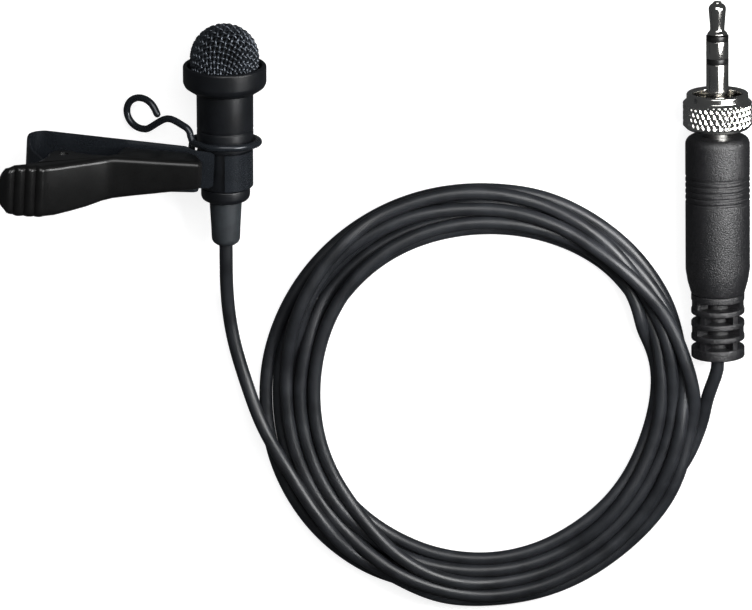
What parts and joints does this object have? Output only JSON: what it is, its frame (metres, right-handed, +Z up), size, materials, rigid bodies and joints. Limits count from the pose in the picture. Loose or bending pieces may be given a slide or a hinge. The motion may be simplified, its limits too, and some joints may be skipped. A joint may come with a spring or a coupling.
{
  "type": "lavalier microphone",
  "caption": "Clip-on lavalier microphone: domed mesh capsule held in a sprung cloth clip with a wire pigtail, coiled thin lead and locking 3.5 mm plug with knurled nut.",
  "frame": {"origin": "on the table surface, under the middle of the microphone and clip", "axes": "+Z up from the table; +Y along the microphone from its cable end to its windscreen, tipped 4.4 degrees up; +X from the clip's grip towards the microphone and the coil"},
  "size_m": [0.117, 0.0985, 0.0231],
  "materials": {
    "mesh": "black-coated woven wire, satin",
    "housing": "black, satin",
    "rubber": "matte",
    "foam": "open-cell foam",
    "aluminium": "satin",
    "film": "metallised film",
    "board": "circuit board",
    "black_steel": "black spring steel, glossy",
    "steel": "plain",
    "lever": "black, semi-gloss",
    "cord": "soft jacket, matte",
    "plug_plastic": "fine spark texture",
    "nickel": "bright nickel plate",
    "insulator": "black",
    "brass": "plain"
  },
  "bodies": {
    "microphone": {"upper_housing": "housing", "lower_housing": "housing", "end_cap": "housing", "cable_boot": "rubber", "cable_crimp": "brass", "capsule_seat": "rubber", "capsule_can": "aluminium", "diaphragm_ring": "brass", "diaphragm": "film", "backplate": "brass", "circuit_board": "board", "transistor": "insulator", "cord_mic_end": "cord", "cord_coil": "cord", "cord_plug_end": "cord", "plug_tip": "nickel", "insulator_front": "insulator", "ring_contact": "nickel", "insulator_rear": "insulator", "sleeve_contact": "nickel", "plug_neck": "nickel", "plug_body": "plug_plastic", "plug_strain_relief": "plug_plastic", "plug_crimp": "brass"},
    "windscreen": {"windscreen_mesh": "mesh", "windscreen_collar": "housing", "foam_liner": "foam"},
    "clip": {"clip_strip": "black_steel", "holder_sleeve": "black_steel", "wire_ring": "black_steel", "hinge_pin": "steel", "torsion_spring": "steel"},
    "clip_lever": {"lever": "lever"},
    "plug_lock_nut": {"lock_nut": "nickel"}
  },
  "joints": [
    {"name": "windscreen_pull", "type": "slide", "parent": "microphone", "child": "windscreen", "axis": [0, 0.9971, 0.0767], "range_m": [0, 0.012]},
    {"name": "clip_swivel", "type": "hinge", "parent": "microphone", "child": "clip", "pos_m": [0.01424, -0.00421, 0.00549], "axis": [0, 0.9971, 0.0767], "range_deg": [-120, 120]},
    {"name": "lever_squeeze", "type": "hinge", "parent": "clip", "child": "clip_lever", "pos_m": [-0.01064, -0.00359, 0.015], "axis": [-0.0557, -0.9952, -0.0805], "range_deg": [0, 20], "stiffness_Nm_per_rad": 0.03, "springref_deg": -28.65},
    {"name": "lock_nut_spin", "type": "hinge", "parent": "microphone", "child": "plug_lock_nut", "pos_m": [0.09091, 0.00397, 0.00547], "axis": [-0.0157, 0.9998, 0.0157], "continuous": true}
  ]
}
